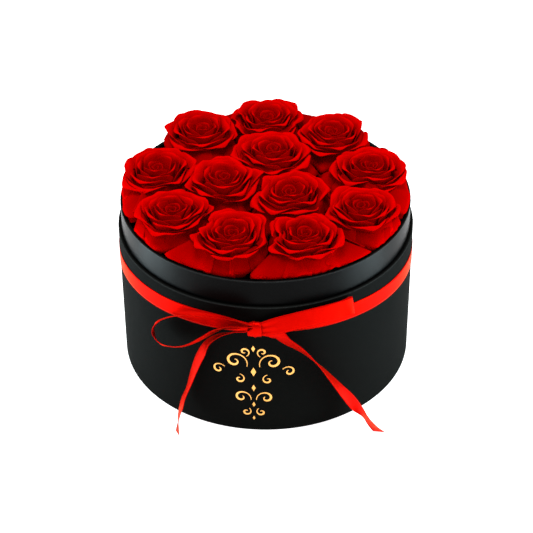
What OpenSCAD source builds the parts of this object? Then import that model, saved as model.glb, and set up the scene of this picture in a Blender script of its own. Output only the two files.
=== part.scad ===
// Round flower box with a raised neck for a lid, a foam block, twelve rose heads on
// short stems, and a satin ribbon tied in a bow round the wall.
// Millimetres. The origin is the centre of the underside, +Z is up, the bow faces -Y.

/* [Box] */
// Outside diameter of the covered wall
box_d = 210; // [205:1:225]
// Height of the wall, up to the ledge round the neck
wall_h = 109; // [104:1:125]
// How far the neck stands above the ledge
neck_rise = 20; // [14:1:28]
// Width of the ledge that a lid rests on
ledge_w = 2.5; // [2.4:0.1:3]
// Thickness of the greyboard of the outer wall
wall_board = 1.8; // [1.5:0.1:1.9]
// Thickness of the greyboard of the neck tube
neck_board = 1.5; // [1.2:0.1:1.8]
// Thickness of the greyboard of the base
base_board_t = 2; // [1.5:0.1:3]
// Thickness of the covering paper
paper = 0.3; // [0.2:0.05:0.3]
// Thickness of the satin paper over the neck
neck_paper = 0.45; // [0.45:0.05:0.5]
// Width of the paper turned in under the base
foot_turn_in = 12; // [8:1:20]
// Depth of the paper turned down inside the neck
neck_turn_in = 22; // [15:1:26]
// How far the neck's paper runs down behind the wall
neck_paper_tuck = 25; // [10:1:40]

/* [Foam] */
// Height of the foam's top above the underside
foam_top = 100; // [95:1:101]
// Clearance between the foam and the neck tube
foam_gap = 0.3; // [0.2:0.1:1]
// Radial clearance of a stem in its hole
stem_fit = 0.06; // [0.02:0.01:0.1]

/* [Roses] */
// Distance of the outer roses from the middle of the box
ring_radius = 75.5; // [75:0.5:76.5]
// Distance of the three inner roses from the middle
heart_radius = 29.5; // [29:0.5:30.5]
// Radius of an open bloom that nothing presses on
bloom_r = 27; // [25:0.5:28]
// Height of an outer bloom above its calyx
bloom_h = 44; // [40:1:46]
// How much higher the three inner blooms stand
heart_extra = 2; // [0:0.5:4]
// Gap left between neighbouring blooms
bloom_gap = 0.4; // [0.3:0.1:1]
// Height of the calyx under a bloom
calyx_h = 7; // [6:0.5:8]
// Diameter of a stem
stem_d = 5; // [4:0.5:5.5]
// Depth of a stem in the foam
stem_depth = 45; // [30:1:48]

/* [Ribbon] */
// Width of the satin ribbon
ribbon_w = 12.5; // [10:0.5:12.5]
// Thickness of the satin ribbon
ribbon_t = 0.3; // [0.2:0.05:0.4]
// Height of the ribbon round the wall, at the sides
band_z = 86.6; // [84:0.2:88]
// How far the ribbon round the wall leans up to the bow, in degrees
band_tilt = 4.5; // [3:0.5:5]
// Height of the middle of the knot
knot_z = 94.2; // [93.8:0.1:94.6]

/* [Foil] */
// Thickness of the foil ornament
foil_t = 0.12; // [0.08:0.02:0.2]
// Widest stroke of the ornament
foil_stroke = 1.8; // [1.2:0.1:2]

/* [Hidden] */
$fn = 96;

box_r = box_d / 2;
total_h = wall_h + neck_rise;
glue = 0.1;
neck_pressed = 0.15;
cover_inset = 1.5;
spare = 1;
wall_r = box_r - paper;
wall_in = wall_r - wall_board;
neck_r = box_r - ledge_w;
neck_board_r = neck_r - neck_paper - glue;
neck_in = neck_board_r - neck_board;
lined_r = neck_in - neck_paper - glue;
foot_z = paper;
board_z = 2 * paper;
floor_z = board_z + base_board_t;

// Roses: nine round the edge, then three in the middle. The turns are in degrees and
// the shifts in millimetres, because each rose is set by hand.
ring_count = 9;
heart_count = 3;
rose_count = ring_count + heart_count;
ring_start = -65;
ring_turn = [0, -2, -4, -2, -1, -2, 3, 4, 2];
ring_shift = [0.5, 2.5, -1.5, -1.5, 0, 1.5, 0, 1.5, -2.5];
heart_start = 86;
heart_turn = [0, -7, -16];
heart_shift = [-1.5, 0.5, 1.5];
calyx_z = foam_top;
bloom_z = foam_top + calyx_h;
calyx_foot_r = 4.6;
calyx_r = 6.4;
calyx_flare = 0.45;
bloom_foot_r = 6.5;
bloom_top_r = 9;
cup_share = 0.62;
bloom_step = 15;
stem_tip = 3;
stem_tip_share = 0.6;
stem_hole_spare = 1;

// Routes of the ribbon's free pieces. Each station is
// [degrees from the front, height, distance out from the wall, [width direction]],
// and the width direction is given as right along the wall, up, and out from it.
loop_right_route = [
    [3.8, 95.6, 4.8, [0, 1, -0.15]], [9.9, 99, 5.6, [0, 0.97, -0.25]],
    [18.5, 101.7, 5.4, [0, 0.97, -0.25]], [27, 102.3, 5.1, [0, 0.97, -0.25]],
    [33.6, 101.6, 4.7, [0, 0.96, -0.26]], [36.6, 101.2, 4.5, [0, 0.95, -0.3]],
    [37.7, 100.9, 3.6, [0, 0.95, -0.28]], [36.6, 100.6, 2.6, [0, 0.96, -0.26]],
    [33.6, 100.4, 2.6, [0, 0.98, -0.16]], [26, 99.2, 1.9, [0, 1, -0.06]],
    [16.8, 97.1, 1.9, [0, 1, 0]], [8.5, 94.8, 1.9, [0, 1, 0]],
    [3.8, 93.5, 1.9, [0, 1, 0]]];
loop_left_route = [
    [-1.7, 99.5, 6.2, [0.29, 0.63, 0.72]], [-4.7, 102, 6.6, [0.18, 0.64, 0.75]],
    [-10.2, 103.2, 7.4, [0.06, 0.64, 0.77]], [-16.2, 102.4, 8, [-0.05, 0.61, 0.79]],
    [-22.5, 99.7, 8.6, [-0.14, 0.54, 0.83]], [-28.9, 94.3, 9.2, [-0.15, 0.38, 0.91]],
    [-33.9, 86.5, 10.2, [0.06, 0.12, 0.99]], [-36.5, 77.5, 11.8, [0.61, 0.13, 0.78]],
    [-34.6, 71.8, 13.6, [0.26, 0.81, 0.53]], [-30.2, 71.8, 14.4, [-0.12, 0.67, 0.73]],
    [-25, 75, 14, [-0.14, 0.53, 0.83]], [-20.4, 80.3, 12.4, [-0.14, 0.46, 0.88]],
    [-16, 87.5, 10.4, [-0.19, 0.47, 0.86]], [-11.9, 93.8, 8.6, [-0.16, 0.57, 0.8]],
    [-7.5, 96.7, 7.2, [-0.01, 0.65, 0.76]], [-1.7, 97.3, 6.2, [-0.01, 0.63, 0.78]]];
tail_left_route = [
    [-1.7, 94.3, 6.6, [-0.09, 0.54, 0.84]], [-5.5, 93.2, 6.8, [-0.12, 0.53, 0.84]],
    [-9.7, 89.7, 7.2, [-0.21, 0.36, 0.91]], [-13.8, 83.5, 7, [-0.07, 0.02, 1]],
    [-17.2, 73.3, 6.4, [0.38, -0.24, 0.89]], [-20.3, 59.9, 6, [0.54, -0.21, 0.81]],
    [-22.8, 44.9, 6.4, [0.54, -0.13, 0.83]], [-25.1, 29.2, 7.4, [0.47, -0.01, 0.88]],
    [-26.2, 19.7, 9.6, [0.63, 0.22, 0.75]], [-26, 15, 13, [0.58, 0.66, 0.48]],
    [-25.2, 12.1, 17.6, [0.4, 0.83, 0.39]], [-24.4, 9.2, 21.6, [0.24, 0.85, 0.47]],
    [-23.6, 6.6, 25.5, [0.13, 0.85, 0.51]]];
tail_right_route = [
    [4.6, 92.8, 3.3, [0, 1, 0]], [6.9, 92.2, 3.4, [0, 1, 0.05]],
    [9.2, 89.4, 3.5, [0.1, 0.96, 0.2]], [11.6, 84.9, 5.1, [0.33, 0.7, 0.58]],
    [15.5, 79.3, 7.5, [0.5, 0.4, 0.77]], [20.5, 67.6, 7.1, [0.28, 0.19, 0.94]],
    [25.9, 52.3, 6.9, [-0.06, -0.04, 1]], [31.9, 33.4, 7.2, [-0.4, -0.17, 0.9]],
    [36.3, 19.6, 9.4, [-0.64, -0.18, 0.75]], [38.4, 12.9, 13, [-0.7, 0.2, 0.69]],
    [39.1, 8.9, 18.2, [-0.67, 0.59, 0.45]], [39.3, 6.3, 24.6, [-0.75, 0.65, 0.14]],
    [39.3, 6.2, 33.2, [-0.85, 0.52, 0]]];
route_steps = 4;
band_gap = 0.1;
knot_r = 3.1;
knot_half_w = 1.7;
knot_half_h = 3.2;
knot_out = 3.95;
knot_x = 1.7;

// Foil ornament: scrolls as [x, z, first radius, last radius, first angle, sweep, weight],
// drawn for the right side and mirrored to the left.
scrolls = [
    [13, 62, 9.5, 1.6, 205, -470, 1], [24.5, 53, 5.2, 1.2, 150, -400, 0.75],
    [6.2, 71, 4.2, 1, 250, -380, 0.7], [9.8, 46.5, 4.4, 1, 95, 380, 0.7],
    [8.6, 30, 7, 1.3, 195, -430, 0.85], [5.2, 17, 3.8, 1, 120, 380, 0.65]];
drops = [[0, 74, 1.3], [0, 53.5, 1.9], [0, 39, 1.4], [0, 24, 1.1], [0, 11.5, 0.9]];
foil_gap = 0.03;
foil_hair = 0.5;
foil_swell = 1.5;
scroll_steps = 32;
drop_step = 0.25;
drop_tip = 0.05;

function rose_name(i, piece) = str("rose_", i < 10 ? "0" : "", i, "_", piece);

// ---- Box ----

// A ring standing on z0, with its outside radius first
module tube(outside, inside, z0, z1) {
    translate([0, 0, z0])
        difference() {
            cylinder(r = outside, h = z1 - z0);
            translate([0, 0, -spare]) cylinder(r = inside, h = z1 - z0 + 2 * spare);
        }
}

// Paper over the outer wall, folded over its top edge and under its foot
module outer_wrap() {
    color("#161616")
        rotate_extrude()
            polygon([
                [box_r - foot_turn_in, foot_z], [box_r, foot_z], [box_r, wall_h],
                [wall_in, wall_h], [wall_in, wall_h - paper], [wall_r, wall_h - paper],
                [wall_r, board_z], [box_r - foot_turn_in, board_z]]);
}

module outer_tube() {
    color("#8a8378") tube(wall_r, wall_in, board_z, wall_h - paper);
}

// Paper disc that covers the underside
module base_cover() {
    color("#1c1c1c") cylinder(r = box_r - cover_inset, h = paper);
}

module base_board() {
    color("#8a8378")
        translate([0, 0, board_z]) cylinder(r = wall_in - glue, h = base_board_t);
}

module neck_tube() {
    color("#8a8378") tube(neck_board_r, neck_in, floor_z, total_h - neck_paper);
}

// Satin paper over the neck, folded over its edge and down inside. Behind the wall it
// is pressed thinner.
module neck_wrap() {
    inner = lined_r + neck_paper;
    outer = neck_r - neck_paper;
    color("#1e2022")
        rotate_extrude()
            polygon([
                [neck_r - neck_pressed, wall_h - neck_paper_tuck], [neck_r, wall_h],
                [neck_r, total_h], [lined_r, total_h], [lined_r, total_h - neck_turn_in],
                [inner, total_h - neck_turn_in], [inner, total_h - neck_paper],
                [outer, total_h - neck_paper], [outer, wall_h - neck_paper_tuck]]);
}

// ---- Foam and roses ----

function rose_place(i) = i <= ring_count
    ? let (k = i - 1, r = ring_radius + ring_shift[k],
           a = ring_start + 360 / ring_count * k + ring_turn[k]) r * [cos(a), sin(a)]
    : let (k = i - 1 - ring_count, r = heart_radius + heart_shift[k],
           a = heart_start + 360 / heart_count * k + heart_turn[k]) r * [cos(a), sin(a)];

function rose_height(i) = i <= ring_count ? bloom_h : bloom_h + heart_extra;

module foam_block() {
    color("#3f4f3c")
        difference() {
            translate([0, 0, floor_z])
                cylinder(r = neck_in - foam_gap, h = foam_top - floor_z);
            for (i = [1:rose_count])
                translate([each rose_place(i), foam_top - stem_depth - stem_hole_spare])
                    cylinder(d = stem_d + 2 * stem_fit, h = stem_depth + stem_hole_spare + spare);
        }
}

module rose_stem(i) {
    color("#4f6b35")
        translate([each rose_place(i), foam_top - stem_depth]) {
            cylinder(d1 = stem_d * stem_tip_share, d2 = stem_d, h = stem_tip);
            translate([0, 0, stem_tip]) cylinder(d = stem_d, h = stem_depth - stem_tip);
        }
}

module rose_calyx(i) {
    color("#3f6b2d")
        translate([each rose_place(i), calyx_z])
            rotate_extrude()
                polygon([
                    [0, 0], [calyx_foot_r, 0], [calyx_r, calyx_h * calyx_flare],
                    [calyx_r, calyx_h], [0, calyx_h]]);
}

// Half outline of a free bloom: a round cup with a low dome on it
function bloom_outline(h) = concat(
    [[0, 0]],
    [for (a = [0:bloom_step:90])
        [bloom_foot_r + (bloom_r - bloom_foot_r) * sin(a), h * cup_share * (1 - cos(a))]],
    [for (a = [bloom_step:bloom_step:90])
        [bloom_top_r + (bloom_r - bloom_top_r) * cos(a),
         h * (cup_share + (1 - cup_share) * sin(a))]],
    [[0, h]]);

// Everything beyond the middle between two roses, seen from the first
module beyond(from, to) {
    step = to - from;
    translate(from + step / 2)
        rotate(atan2(step[1], step[0]))
            translate([-bloom_gap / 2, -box_r]) square([box_r, box_d]);
}

// A bloom presses flat against its neighbours and against the neck
module rose_bloom(i) {
    here = rose_place(i);
    h = rose_height(i);
    color("#c80000")
        intersection() {
            translate([each here, bloom_z]) rotate_extrude() polygon(bloom_outline(h));
            translate([0, 0, bloom_z - spare])
                linear_extrude(height = h + 2 * spare)
                    difference() {
                        circle(r = lined_r - bloom_gap, $fn = 180);
                        for (j = [1:rose_count])
                            if (j != i && norm(rose_place(j) - here) < 2 * bloom_r + bloom_gap)
                                beyond(here, rose_place(j));
                    }
        }
}

// ---- Ribbon ----

function unit(v) = v / norm(v);

// A point on or off the wall, and a direction given as right, up and out there
function wall_point(deg, z, out) =
    [(box_r + out) * sin(deg), -(box_r + out) * cos(deg), z];
function wall_dir(deg, w) =
    [w[0] * cos(deg) + w[2] * sin(deg), w[0] * sin(deg) - w[2] * cos(deg), w[1]];

// Smooth curve through four neighbouring values
function between(a, b, c, d, t) =
    0.5 * (2 * b + (c - a) * t + (2 * a - 5 * b + 4 * c - d) * t * t
           + (3 * b - a - 3 * c + d) * t * t * t);

function smooth(v) = let (n = len(v)) concat(
    [for (i = [0:n - 2], s = [0:route_steps - 1])
        between(v[max(i - 1, 0)], v[i], v[i + 1], v[min(i + 2, n - 1)], s / route_steps)],
    [v[n - 1]]);

// Closed strip of even thickness along a line of points
module strip(points, widths, half_width, thickness) {
    n = len(points);
    top_face = 2;  // from this face on, the quads are cut along the other diagonal, so both skins match
    rings = [for (i = [0:n - 1])
        let (along = unit(points[min(i + 1, n - 1)] - points[max(i - 1, 0)]),
             across = unit(widths[i] - along * (widths[i] * along)),
             up = cross(along, across) * thickness / 2,
             half = across * (is_list(half_width) ? half_width[i] : half_width))
            [points[i] - half - up, points[i] + half - up,
             points[i] + half + up, points[i] - half + up]];
    corners = [for (ring = rings) each ring];
    sides = [for (i = [0:n - 2], k = [0:3])
        let (a = 4 * i + k, b = 4 * i + (k + 1) % 4)
            each k < top_face ? [[a, b, b + 4], [a, b + 4, a + 4]] : [[a, b, a + 4], [b, b + 4, a + 4]]];
    last = 4 * (n - 1);
    ends = [[0, 2, 1], [0, 3, 2], [last, last + 1, last + 2], [last, last + 2, last + 3]];
    polyhedron(points = corners, faces = [for (f = concat(sides, ends)) [f[2], f[1], f[0]]]);
}

module ribbon(route) {
    color("#e00000")
        strip(smooth([for (s = route) wall_point(s[0], s[1], s[2])]),
              smooth([for (s = route) wall_dir(s[0], s[3])]),
              ribbon_w / 2, ribbon_t);
}

module ribbon_band() {
    color("#e00000")
        intersection() {
            tube(box_r + band_gap + ribbon_t, box_r + band_gap, 0, wall_h);
            translate([0, 0, band_z])
                rotate([-band_tilt, 0, 0])
                    translate([-box_d, -box_d, -ribbon_w / 2])
                        cube([2 * box_d, 2 * box_d, ribbon_w]);
        }
}

module bow_knot() {
    color("#d00000")
        translate([knot_x, -box_r - knot_out, knot_z])
            hull()
                for (x = [-knot_half_w, knot_half_w], z = [-knot_half_h, knot_half_h])
                    translate([x, 0, z]) sphere(r = knot_r, $fn = 32);
}

module bow_loop_left() { ribbon(loop_left_route); }
module bow_loop_right() { ribbon(loop_right_route); }
module ribbon_tail_left() { ribbon(tail_left_route); }
module ribbon_tail_right() { ribbon(tail_right_route); }

// ---- Foil ----

// Maps flat ornament places onto the wall
function foil_point(x, z) = wall_point(x / box_r * 180 / PI, z, foil_gap + foil_t / 2);

// A tapering spiral stroke
module scroll(s, side) {
    n = scroll_steps;
    flat = [for (i = [0:n])
        let (t = i / n, a = s[4] + s[5] * t, r = s[2] * pow(s[3] / s[2], t))
            [side * (s[0] + r * cos(a)), s[1] + r * sin(a)]];
    widths = [for (i = [0:n])
        let (step = flat[min(i + 1, n)] - flat[max(i - 1, 0)],
             deg = flat[i][0] / box_r * 180 / PI)
            wall_dir(deg, [-step[1], step[0], 0])];
    half = [for (i = [0:n])
        foil_hair / 2
        + (foil_stroke - foil_hair) / 2 * s[6] * pow(sin(180 * i / n), foil_swell)];
    strip([for (p = flat) foil_point(p[0], p[1])], widths, half, foil_t);
}

module foil_ornament() {
    color("#d9a45b") {
        for (s = scrolls, side = [-1, 1]) scroll(s, side);
        for (d = drops)
            strip([for (t = [-1:drop_step:1]) foil_point(0, d[1] + 2 * d[2] * t)],
                  [for (t = [-1:drop_step:1]) [1, 0, 0]],
                  [for (t = [-1:drop_step:1]) max(d[2] * (1 - abs(t)), drop_tip)], foil_t);
    }
}

// ---- Nodes ----

outer_wrap();
outer_tube();
base_cover();
base_board();
neck_tube();
neck_wrap();
foam_block();
ribbon_band();
bow_knot();
bow_loop_left();
bow_loop_right();
ribbon_tail_left();
ribbon_tail_right();
foil_ornament();
for (i = [1:rose_count])
    rose_stem(i);
for (i = [1:rose_count])
    rose_calyx(i);
for (i = [1:rose_count])
    rose_bloom(i);
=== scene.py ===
import math

import bpy
import numpy as np
from mathutils import Matrix, Vector


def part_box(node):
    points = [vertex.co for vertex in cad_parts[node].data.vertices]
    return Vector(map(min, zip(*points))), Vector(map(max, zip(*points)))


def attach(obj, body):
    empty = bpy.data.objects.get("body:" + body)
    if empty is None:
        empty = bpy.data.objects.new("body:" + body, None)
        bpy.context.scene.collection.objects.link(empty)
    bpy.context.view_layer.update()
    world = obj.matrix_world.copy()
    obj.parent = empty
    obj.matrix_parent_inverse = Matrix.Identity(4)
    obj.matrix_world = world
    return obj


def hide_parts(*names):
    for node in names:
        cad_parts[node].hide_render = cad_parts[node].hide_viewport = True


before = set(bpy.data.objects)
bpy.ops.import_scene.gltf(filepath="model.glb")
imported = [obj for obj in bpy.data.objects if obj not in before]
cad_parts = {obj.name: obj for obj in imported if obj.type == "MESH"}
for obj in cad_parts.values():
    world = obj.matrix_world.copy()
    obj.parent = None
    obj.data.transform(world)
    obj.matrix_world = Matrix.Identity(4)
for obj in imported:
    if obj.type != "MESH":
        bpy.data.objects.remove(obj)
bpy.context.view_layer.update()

# A round flower box. Its papers, boards, foam and foil are the CAD solids with materials. The roses and the
# ribbon are built here, and stand for the plain solids that the CAD has in their places.

MM = 0.001

# Sizes in millimetres, the same as in the CAD source.
WALL_R = 105.0
WALL_TOP = 109.0
NECK_R = 102.5
NECK_TOP = 129.0
NECK_INSIDE = 99.9
BLOOM_BASE = 107.0
BLOOM_GAP = 0.4
CALYX_BASE = 100.0
RIBBON_W = 12.5
RIBBON_T = 0.3
BAND_R = 105.25
BAND_Z = 86.6
BAND_TILT = 4.5
KNOT_X = 1.7
KNOT_Z = 94.2
KNOT_OUT = 3.95

# Sizes that only the visual model has, in millimetres.
STEM_R = 2.45
# The furthest that a petal reaches from its rose.
GUARD_REACH = 46.0
# How far from the box's axis a petal reaches where it leans over the neck's edge.
NECK_GRIP = 101.9
# Two ring roses this close are neighbours, and one keeps out of this circle round the other.
NEXT_DOOR = 60.0
WEDGE_CIRCLE = 27.0
# An open bloom's petals reach this far where there is room, and this far on all sides.
OPEN_REACH = 29.0
EVEN_REACH = 25.0

# A petal's other side has this much more on its u, and a low outer petal this much more on both its sides.
BACK_U = 2.0
LOW_U = 4.0


# ---- Camera ----

# Distances in metres, and the lens and sensor in millimetres.
CAMERA_ELEVATION = math.radians(37.22)
CAMERA_AZIMUTH = math.radians(5)
CAMERA_ROLL = 0.0075
CAMERA_DISTANCE = 1.25
CAMERA_TARGET = (0, 0, 0.057)
CAMERA_LENS = 115.2946
SENSOR_WIDTH = 36
# The camera looks past its target by these slopes.
AIM_RIGHT = 0.000258
AIM_UP = 0.005091


def make_camera():
    """In front of the box, a little to the right of it, and looking down on it."""
    turn = Matrix.Rotation(CAMERA_AZIMUTH, 3, "Z")
    right = turn @ Vector((1, 0, 0))
    forward = turn @ Vector((0, math.cos(CAMERA_ELEVATION), -math.sin(CAMERA_ELEVATION)))
    up = turn @ Vector((0, math.sin(CAMERA_ELEVATION), math.cos(CAMERA_ELEVATION)))
    look = (forward + up * AIM_UP + right * AIM_RIGHT).normalized()
    side = (right - look * right.dot(look)).normalized()
    top = side.cross(look)
    side_rolled = side * math.cos(CAMERA_ROLL) - top * math.sin(CAMERA_ROLL)
    top_rolled = side * math.sin(CAMERA_ROLL) + top * math.cos(CAMERA_ROLL)
    data = bpy.data.cameras.new("camera")
    data.sensor_width = SENSOR_WIDTH
    data.lens = CAMERA_LENS
    data.clip_end = 50
    cam = bpy.data.objects.new("camera", data)
    cam.matrix_world = Matrix((side_rolled, top_rolled, -look)).transposed().to_4x4()
    cam.location = Vector(CAMERA_TARGET) - CAMERA_DISTANCE * forward
    bpy.context.scene.collection.objects.link(cam)
    bpy.context.scene.camera = cam


make_camera()


# ---- Mesh helpers ----

def add_mesh(name, points, faces, uv=None, smooth=True):
    """points in millimetres; uv holds one pair for each point."""
    mesh = bpy.data.meshes.new(name)
    mesh.from_pydata((np.asarray(points, float) * MM).tolist(), [], faces)
    mesh.validate()
    if uv is not None:
        layer = mesh.uv_layers.new(name="UVMap")
        loops = np.zeros(len(mesh.loops), int)
        mesh.loops.foreach_get("vertex_index", loops)
        layer.data.foreach_set("uv", np.asarray(uv, float)[loops].ravel())
    mesh.polygons.foreach_set("use_smooth", [smooth] * len(mesh.polygons))
    mesh.update()
    obj = bpy.data.objects.new(name, mesh)
    bpy.context.scene.collection.objects.link(obj)
    return obj


def grid_normals(grid):
    """One unit normal for each point of a grid of points."""
    along = np.gradient(grid, axis=0)
    across = np.gradient(grid, axis=1)
    normal = np.cross(along, across)
    return normal / np.maximum(np.linalg.norm(normal, axis=2, keepdims=True), 1e-9)


def thick_sheet(grid, uv, thickness, wrap=False, back_shift=0.0):
    """A closed skin round a grid of points [along][across]. Returns points, faces and uv.
    wrap joins the last row to the first. thickness is one number or one for each grid point.
    back_shift is added to u on the second side, so that a material can tell the sides apart."""
    rows, cols = grid.shape[:2]
    if wrap:
        ahead = np.roll(grid, -1, axis=0) - np.roll(grid, 1, axis=0)
        normal = np.cross(ahead, np.gradient(grid, axis=1))
        normal /= np.maximum(np.linalg.norm(normal, axis=2, keepdims=True), 1e-9)
    else:
        normal = grid_normals(grid)
    half = np.asarray(thickness, float)
    half = half[..., None] / 2 if half.ndim else half / 2
    sides = (grid + normal * half, grid - normal * half)
    points = np.concatenate([side.reshape(-1, 3) for side in sides])
    count = rows * cols
    faces = []
    for i in range(rows if wrap else rows - 1):
        j = (i + 1) % rows
        for k in range(cols - 1):
            a, b, c, d = i * cols + k, i * cols + k + 1, j * cols + k + 1, j * cols + k
            faces.append((a, b, c, d))
            faces.append((d + count, c + count, b + count, a + count))
        a, d = i * cols, j * cols
        faces.append((a, d, d + count, a + count))
        a, d = i * cols + cols - 1, j * cols + cols - 1
        faces.append((a + count, d + count, d, a))
    if not wrap:
        for k in range(cols - 1):
            faces.append((k + 1, k, k + count, k + 1 + count))
            a = (rows - 1) * cols + k
            faces.append((a, a + 1, a + 1 + count, a + count))
    uv = uv.reshape(-1, 2)
    return points, faces, np.concatenate([uv, uv + [back_shift, 0]])


def joined(parts):
    """Several (points, faces, uv) as one."""
    points, faces, uvs, start = [], [], [], 0
    for p, f, uv in parts:
        points.append(p)
        uvs.append(uv)
        faces.extend(tuple(i + start for i in face) for face in f)
        start += len(p)
    return np.concatenate(points), faces, np.concatenate(uvs)


def tube_skin(centres, radii, sides):
    """A closed tube along centres with a radius for each, or one for each side of each."""
    centres = np.asarray(centres, float)
    rows = len(centres)
    angle = np.linspace(0, 2 * math.pi, sides, endpoint=False)
    radii = np.asarray(radii, float)
    radii = radii if radii.ndim == 2 else radii[:, None] * np.ones(sides)
    ring = np.stack([np.cos(angle), np.sin(angle), np.zeros(sides)], 1)
    points = centres[:, None, :] + ring[None] * radii[..., None]
    faces = []
    for i in range(rows - 1):
        for k in range(sides):
            n = (k + 1) % sides
            faces.append((i * sides + k, i * sides + n, (i + 1) * sides + n, (i + 1) * sides + k))
    faces.append(tuple(range(sides))[::-1])
    faces.append(tuple((rows - 1) * sides + k for k in range(sides)))
    height = (centres[:, 2] - centres[0, 2]) * MM
    uv = np.stack(np.meshgrid(height, angle / (2 * math.pi), indexing="ij"), 2)[..., ::-1]
    return points.reshape(-1, 3), faces, uv.reshape(-1, 2)


# ---- Materials ----

class Look:
    """A material's node tree, with short calls for adding nodes."""

    def __init__(self, name):
        self.material = bpy.data.materials.new(name)
        self.material.use_nodes = True
        tree = self.material.node_tree
        self.nodes, self.links = tree.nodes, tree.links
        self.shader = self.nodes["Principled BSDF"]
        self.coords = self.nodes.new("ShaderNodeTexCoord")

    def set(self, **values):
        for name, value in values.items():
            self.shader.inputs[name.replace("_", " ")].default_value = value

    def node(self, kind, inputs=None, **props):
        made = self.nodes.new("ShaderNode" + kind)
        for key, value in props.items():
            setattr(made, key, value)
        for key, value in (inputs or {}).items():
            if isinstance(value, bpy.types.NodeSocket):
                self.links.new(value, made.inputs[key])
            else:
                made.inputs[key].default_value = value
        return made

    def plug(self, output, name):
        self.links.new(output, self.shader.inputs[name])

    def mapped(self, scale, vector=None):
        """The object's own coordinates, or another vector, scaled."""
        if vector is None:
            vector = self.coords.outputs["Object"]
        return self.node("Mapping", {"Vector": vector, "Scale": scale}).outputs[0]

    def noise(self, vector, scale, detail=2.0, roughness=0.5, distortion=0.0):
        return self.node("TexNoise", {"Vector": vector, "Scale": scale, "Detail": detail,
                                      "Roughness": roughness, "Distortion": distortion}).outputs["Fac"]

    def span(self, value, low, high, start=0.0, end=1.0):
        """Goes from low to high while value goes from start to end."""
        made = self.node("MapRange", {"Value": value, "From Min": start, "From Max": end,
                                      "To Min": low, "To Max": high})
        return made.outputs[0]

    def math(self, operation, a, b=0.0):
        return self.node("Math", {0: a, 1: b}, operation=operation).outputs[0]

    def reds(self, value, stops):
        """A ramp of pure reds. stops are (place, amount of red)."""
        made = self.node("ValToRGB", {"Fac": value})
        ramp = made.color_ramp
        while len(ramp.elements) > 1:
            ramp.elements.remove(ramp.elements[-1])
        first, *rest = stops
        ramp.elements[0].position, ramp.elements[0].color = first[0], (first[1], 0, 0, 1)
        for place, red in rest:
            ramp.elements.new(place).color = (red, 0, 0, 1)
        return made.outputs[0]

    def mix(self, share, first, second):
        """The first colour where share is 0, and the second where it is 1."""
        made = self.nodes.new("ShaderNodeMix")
        made.data_type = "RGBA"
        for socket, value in ((0, share), (6, first), (7, second)):
            if isinstance(value, bpy.types.NodeSocket):
                self.links.new(value, made.inputs[socket])
            else:
                made.inputs[socket].default_value = (*value, 1) if isinstance(value, tuple) else value
        return made.outputs[2]

    def bump(self, height, distance, strength, normal=None):
        inputs = {"Height": height, "Distance": distance, "Strength": strength}
        if normal is not None:
            inputs["Normal"] = normal
        return self.node("Bump", inputs).outputs[0]

    def rounded(self, radius):
        """The normal with its sharp edges rounded."""
        return self.node("Bevel", {"Radius": radius}, samples=4).outputs[0]


def painted_edge_highlight(look, fibre, height, radius):
    """How much a painted highlight lightens the outer corner of a fold at this height and radius."""
    place = look.node("SeparateXYZ", {"Vector": look.coords.outputs["Object"]}).outputs
    flat = look.node("CombineXYZ", {0: place[0], 1: place[1]}).outputs[0]
    out = look.node("VectorMath", {0: flat}, operation="LENGTH").outputs["Value"]
    near_top = look.span(place[2], 0, 1, (height - 0.9) * MM, (height - 0.1) * MM)
    near_side = look.span(out, 0, 1, (radius - 1.0) * MM, (radius - 0.3) * MM)
    uneven = look.span(fibre, 0.4, 1, 0.3, 0.7)
    return look.math("MULTIPLY", look.math("MULTIPLY", near_top, near_side), uneven)


def wall_paper_look(name, dark, light, roughness, specular, grain, edge=None):
    """edge is (height, radius, colour) of the top fold, which a painted highlight makes lighter."""
    look = Look(name)
    fine = look.noise(look.mapped((1, 1, 1)), 1800, 3, 0.6)
    broad = look.noise(look.mapped((1, 1, 0.6)), 28, 2)
    fibre = look.noise(look.mapped((1, 1, 4)), 420, 4, 0.65, 0.4)
    tone = look.mix(look.math("MULTIPLY", fine, fibre), dark, light)
    if edge:
        # Painted highlight along the top fold, broken up by the paper's fibre.
        height, radius, colour = edge
        tone = look.mix(painted_edge_highlight(look, fibre, height, radius), tone, colour)
    look.plug(tone, "Base Color")
    dull = look.math("ADD", broad, look.math("MULTIPLY", fibre, 0.6))
    look.plug(look.span(dull, *roughness, 0.4, 1.2), "Roughness")
    relief = look.math("ADD", look.math("MULTIPLY", fine, 0.5), fibre)
    look.plug(look.bump(relief, grain, 0.6, look.rounded(0.0006)), "Normal")
    look.set(Specular_IOR_Level=specular)
    return look.material


def board_look():
    look = Look("greyboard")
    fibre = look.noise(look.mapped((1, 1, 3)), 300, 5, 0.7, 0.6)
    fleck = look.noise(look.mapped((1, 1, 1)), 1500, 2)
    tone = look.mix(look.span(fibre, 0, 1, 0.3, 0.7), (0.22, 0.205, 0.18), (0.33, 0.31, 0.275))
    look.plug(look.mix(look.span(fleck, 0, 0.5, 0.55, 0.75), tone, (0.12, 0.11, 0.1)), "Base Color")
    look.plug(look.bump(fibre, 0.0001, 0.5), "Normal")
    look.set(Roughness=0.9, Specular_IOR_Level=0.2)
    return look.material


def foam_look():
    look = Look("foam")
    cells = look.node("TexVoronoi", {"Vector": look.mapped((1, 1, 1)), "Scale": 900}).outputs["Distance"]
    patch = look.noise(look.mapped((1, 1, 1)), 60, 4, 0.6)
    # Painted shade: the foam is kept near black, darker than such foam is, because it shows only in the
    # shaded gaps between the blooms. Its green tint and patches are its own.
    tone = look.mix(patch, (0.012, 0.022, 0.012), (0.03, 0.048, 0.026))
    look.plug(look.mix(look.span(cells, 0, 0.8, 0.35, 0.7), tone, (0.006, 0.01, 0.006)), "Base Color")
    look.plug(look.bump(look.math("ADD", cells, patch), 0.0004, 0.7), "Normal")
    look.set(Roughness=0.95, Specular_IOR_Level=0.1)
    return look.material


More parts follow.
